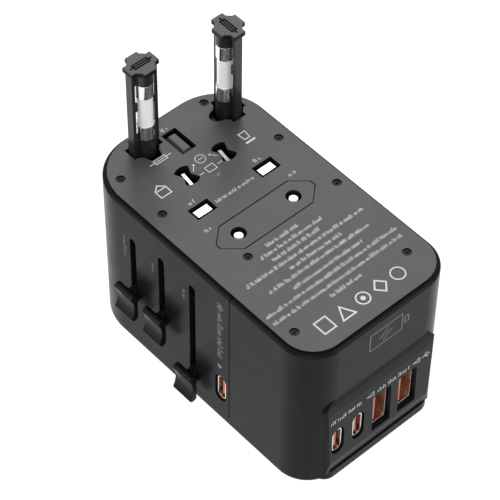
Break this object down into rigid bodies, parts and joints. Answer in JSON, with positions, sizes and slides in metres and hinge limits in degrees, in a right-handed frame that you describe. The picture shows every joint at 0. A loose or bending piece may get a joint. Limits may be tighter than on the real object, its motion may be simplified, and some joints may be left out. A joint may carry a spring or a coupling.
{
  "type": "universal travel adapter",
  "caption": "Universal travel adapter with sliding UK, EU, US and AU plug pins, two pull-out fuse carriers and a charger end with USB ports.",
  "frame": {"origin": "centre of the socket face, which rests on z = 0, under the middle of the housing without its port bulge", "axes": "+Z out of the plug face, +X towards the end with the USB ports, -Y on the side with the three thumb sliders"},
  "size_m": [0.0905, 0.0553, 0.086],
  "materials": {
    "shell_plastic": "satin",
    "plate_plastic": "satin",
    "black_plastic": "satin",
    "earth_plastic": "satin",
    "shutter_plastic": "satin",
    "pin_metal": "polished",
    "contact_brass": "satin",
    "screw_steel": "satin",
    "rod_steel": "satin",
    "fuse_tube_ceramic": "satin",
    "board_green": "satin",
    "core_ferrite": "matte",
    "winding_tape": "satin",
    "cap_sleeve": "gloss",
    "choke_wire": "gloss",
    "heat_aluminium": "satin",
    "port_metal": "polished",
    "tongue_orange": "satin"
  },
  "bodies": {
    "housing": {"face_plate": "plate_plastic", "adapter_shell": "shell_plastic", "charger_shell": "shell_plastic", "socket_cover": "shell_plastic", "socket_insert": "black_plastic", "inner_frame": "black_plastic", "partition": "black_plastic", "face_screws": "screw_steel", "cover_screws": "screw_steel", "guide_rods": "rod_steel", "main_fuse_well": "black_plastic", "spare_fuse_well": "black_plastic", "main_fuse_contacts": "contact_brass", "shutter_spring": "rod_steel", "line_contact": "contact_brass", "neutral_contact": "contact_brass", "earth_contact": "contact_brass", "line_rail": "contact_brass", "neutral_rail": "contact_brass", "power_board": "board_green", "transformer_core": "core_ferrite", "transformer_winding": "winding_tape", "capacitors": "cap_sleeve", "choke": "choke_wire", "heat_spreader": "heat_aluminium", "port_board": "board_green", "side_board": "board_green", "usb_a_shells": "port_metal", "usb_a_tongues": "tongue_orange", "usb_c_shells": "port_metal", "usb_c_tongues": "tongue_orange", "side_port_shell": "port_metal", "side_port_tongue": "tongue_orange"},
    "us_pins": {"us_carriage": "black_plastic", "us_knob": "shell_plastic"},
    "us_near": {"us_blade_near": "pin_metal"},
    "us_far": {"us_blade_far": "pin_metal"},
    "uk_pins": {"uk_carriage": "black_plastic", "uk_knob": "shell_plastic", "uk_pin_near": "pin_metal", "uk_pin_far": "pin_metal", "uk_earth_pin": "earth_plastic"},
    "eu_pins": {"eu_carriage": "black_plastic", "eu_knob": "shell_plastic", "eu_pin_near": "pin_metal", "eu_pin_far": "pin_metal", "eu_sleeve_near": "black_plastic", "eu_sleeve_far": "black_plastic"},
    "pedestal": {"eu_pedestal": "plate_plastic"},
    "main_carrier": {"main_fuse_cap": "plate_plastic", "main_fuse_frame": "black_plastic"},
    "main_cartridge": {"main_fuse_tube": "fuse_tube_ceramic", "main_fuse_ends": "pin_metal"},
    "spare_carrier": {"spare_fuse_cap": "plate_plastic", "spare_fuse_frame": "black_plastic"},
    "spare_cartridge": {"spare_fuse_tube": "fuse_tube_ceramic", "spare_fuse_ends": "pin_metal"},
    "shutter_plate": {"shutter": "shutter_plastic"}
  },
  "joints": [
    {"name": "us_slide", "type": "slide", "parent": "housing", "child": "us_pins", "axis": [0, 0, 1], "range_m": [0, 0.018]},
    {"name": "us_near_swivel", "type": "hinge", "parent": "us_pins", "child": "us_near", "pos_m": [-0.02305, -0.0064, 0.035], "axis": [0, 0, 1], "range_deg": [-22, 38]},
    {"name": "us_far_swivel", "type": "hinge", "parent": "us_pins", "child": "us_far", "pos_m": [-0.02305, 0.0064, 0.035], "axis": [0, 0, 1], "range_deg": [-22, 38]},
    {"name": "uk_slide", "type": "slide", "parent": "housing", "child": "uk_pins", "axis": [0, 0, 1], "range_m": [0, 0.0185]},
    {"name": "eu_slide", "type": "slide", "parent": "housing", "child": "eu_pins", "axis": [0, 0, 1], "range_m": [0, 0.033]},
    {"name": "pedestal_slide", "type": "slide", "parent": "housing", "child": "pedestal", "axis": [0, 0, 1], "range_m": [0, 0.014]},
    {"name": "main_fuse_slide", "type": "slide", "parent": "housing", "child": "main_carrier", "axis": [0, 0, 1], "range_m": [-0.031, 0]},
    {"name": "main_cartridge_slide", "type": "slide", "parent": "main_carrier", "child": "main_cartridge", "axis": [0, -1, 0], "range_m": [0, 0.008]},
    {"name": "spare_fuse_slide", "type": "slide", "parent": "housing", "child": "spare_carrier", "axis": [0, 0, 1], "range_m": [-0.031, 0]},
    {"name": "spare_cartridge_slide", "type": "slide", "parent": "spare_carrier", "child": "spare_cartridge", "axis": [1, 0, 0], "range_m": [0, 0.008]},
    {"name": "shutter_slide", "type": "slide", "parent": "housing", "child": "shutter_plate", "axis": [1, 0, 0], "range_m": [0, 0.0086], "stiffness_N_per_m": 150, "springref_m": -0.003, "deforming": ["shutter_spring"]}
  ],
  "couplings": [
    {"joint": "pedestal_slide", "follows": "eu_slide", "ratio": 0.42424}
  ]
}
